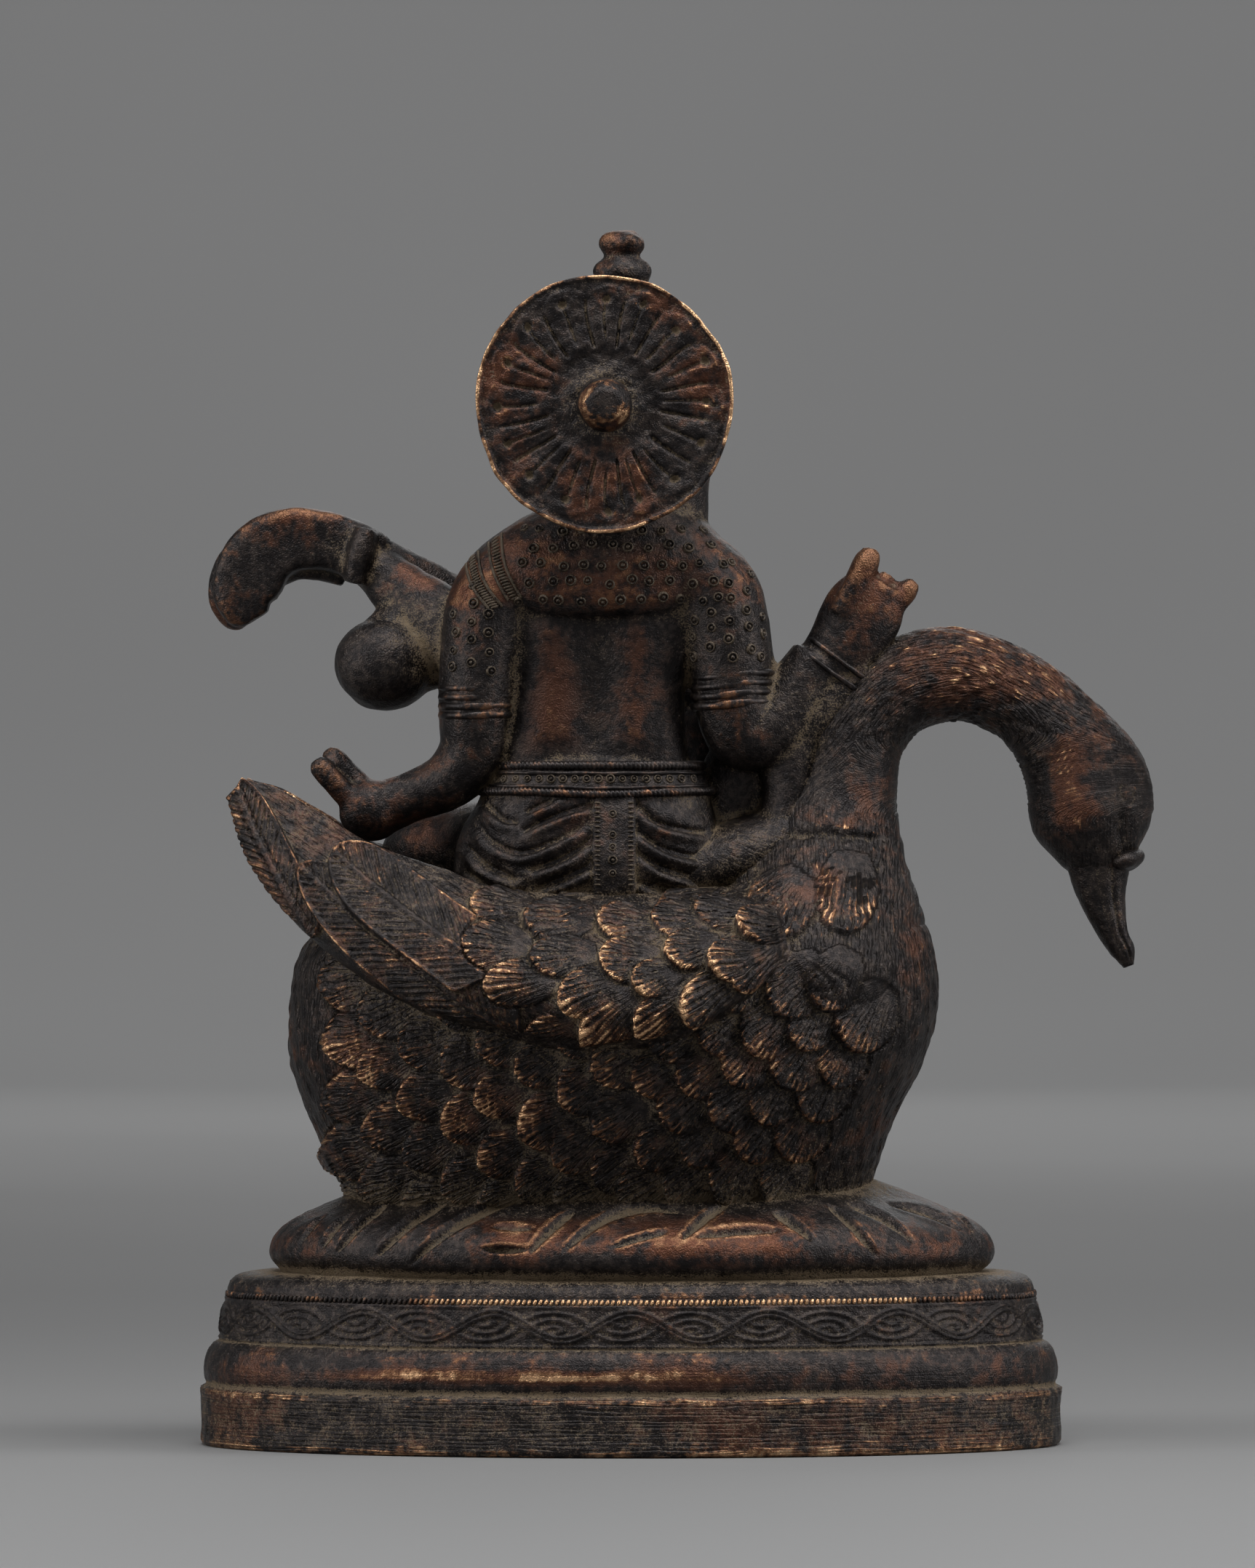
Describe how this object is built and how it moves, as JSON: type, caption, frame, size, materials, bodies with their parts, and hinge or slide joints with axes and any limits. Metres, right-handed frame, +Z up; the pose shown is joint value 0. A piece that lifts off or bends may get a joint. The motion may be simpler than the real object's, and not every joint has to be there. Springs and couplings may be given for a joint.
{
  "type": "saraswati statue",
  "caption": "Small cast figure of the goddess Saraswati seated with a lute on a swan, over a cushion and a stepped oval plinth that rests on its flat underside.",
  "frame": {"origin": "middle of the plinth's flat underside", "axes": "+X the way the swan swims, along the plinth's length; +Y the way the goddess faces; +Z up"},
  "size_m": [0.11, 0.056, 0.1399],
  "materials": {
    "patinated_brass": "near-black brown patina with a satin gloss, red-brown where thin, rubbed golden on edges and raised points, ochre-grey dust in the recesses"
  },
  "bodies": {
    "root": {"saraswati_on_swan": "patinated_brass"}
  },
  "joints": []
}
